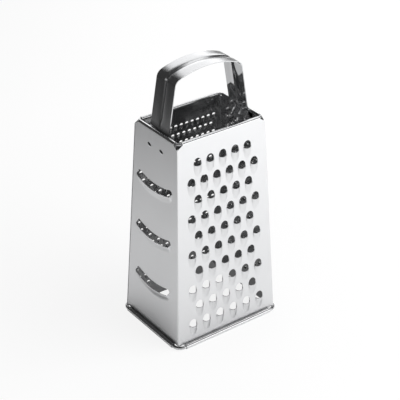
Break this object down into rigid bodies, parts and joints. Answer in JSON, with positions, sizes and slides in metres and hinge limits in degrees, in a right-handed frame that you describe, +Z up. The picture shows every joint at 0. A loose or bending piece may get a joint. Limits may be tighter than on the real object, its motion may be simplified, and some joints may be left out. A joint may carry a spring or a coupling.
{
  "type": "box grater",
  "caption": "Tapered four-sided sheet-steel box grater with coarse, fine, zesting and slicing faces, wired rims and a grooved strap handle.",
  "frame": {"origin": "centre of the base, on the surface that the grater stands on", "axes": "+Z up, -Y out of the coarse face, -X out of the slicing face"},
  "size_m": [0.1072, 0.0842, 0.2335],
  "materials": {
    "panel_steel": "satin",
    "wire_steel": "polished",
    "strap_steel": "polished"
  },
  "bodies": {
    "root": {"front_coarse_panel": "panel_steel", "left_slicer_panel": "panel_steel", "back_fine_panel": "panel_steel", "right_zester_panel": "panel_steel", "top_rim_wire": "wire_steel", "base_rim_wire": "wire_steel", "handle_strap": "strap_steel"}
  },
  "joints": []
}
